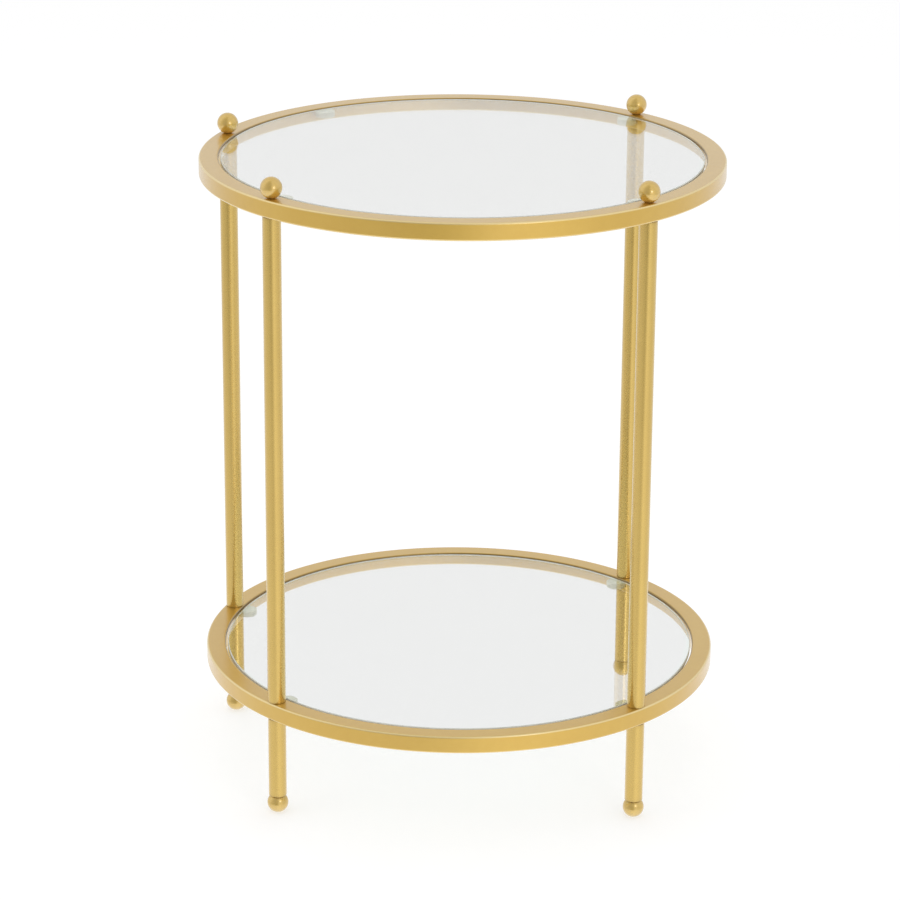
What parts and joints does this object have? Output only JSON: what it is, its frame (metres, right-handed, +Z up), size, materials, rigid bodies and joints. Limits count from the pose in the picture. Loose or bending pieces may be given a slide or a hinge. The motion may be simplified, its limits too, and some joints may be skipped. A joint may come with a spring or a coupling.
{
  "type": "tiered side table",
  "caption": "Round tiered side table: hoops of gold tube on slim posts hold lift-out glass discs, with ball finials above the top hoop and ball feet below.",
  "frame": {"origin": "on the floor, at the middle of the hoops", "axes": "+Z up along the posts; +Y away from the picture's viewer, +X to the viewer's right"},
  "size_m": [0.508, 0.508, 0.6365],
  "materials": {
    "gold_frame": "satin gold",
    "gold_tube": "satin gold",
    "gold_ball": "gloss gold",
    "clear_glass": "clear, polished edge",
    "clear_sleeve": "translucent, soft",
    "zinc_steel": "zinc plated"
  },
  "bodies": {
    "frame": {"bottom_ring": "gold_frame", "top_ring": "gold_frame", "ball_foot_rear_right": "gold_ball", "lower_leg_rear_right": "gold_tube", "post_rear_right": "gold_tube", "finial_rear_right": "gold_ball", "ball_foot_rear_left": "gold_ball", "lower_leg_rear_left": "gold_tube", "post_rear_left": "gold_tube", "finial_rear_left": "gold_ball", "ball_foot_front_left": "gold_ball", "lower_leg_front_left": "gold_tube", "post_front_left": "gold_tube", "finial_front_left": "gold_ball", "ball_foot_front_right": "gold_ball", "lower_leg_front_right": "gold_tube", "post_front_right": "gold_tube", "finial_front_right": "gold_ball", "top_tab_rear_right": "gold_frame", "top_sleeve_rear_right": "clear_sleeve", "top_tab_rear_left": "gold_frame", "top_sleeve_rear_left": "clear_sleeve", "top_tab_front_left": "gold_frame", "top_sleeve_front_left": "clear_sleeve", "top_tab_front_right": "gold_frame", "top_sleeve_front_right": "clear_sleeve", "shelf_tab_rear_right": "gold_frame", "shelf_sleeve_rear_right": "clear_sleeve", "shelf_tab_rear_left": "gold_frame", "shelf_sleeve_rear_left": "clear_sleeve", "shelf_tab_front_left": "gold_frame", "shelf_sleeve_front_left": "clear_sleeve", "shelf_tab_front_right": "gold_frame", "shelf_sleeve_front_right": "clear_sleeve", "leg_bottom_plugs": "zinc_steel", "leg_top_plugs": "zinc_steel", "post_bottom_plugs": "zinc_steel", "post_top_plugs": "zinc_steel", "foot_studs": "zinc_steel", "leg_studs": "zinc_steel", "finial_studs": "zinc_steel"},
    "top_glass": {"top_glass": "clear_glass"},
    "shelf_glass": {"shelf_glass": "clear_glass"}
  },
  "joints": [
    {"name": "top_glass_lift", "type": "slide", "parent": "frame", "child": "top_glass", "axis": [0, 0, 1], "range_m": [0, 0.06]},
    {"name": "shelf_glass_lift", "type": "slide", "parent": "frame", "child": "shelf_glass", "axis": [0, 0, 1], "range_m": [0, 0.47]}
  ]
}
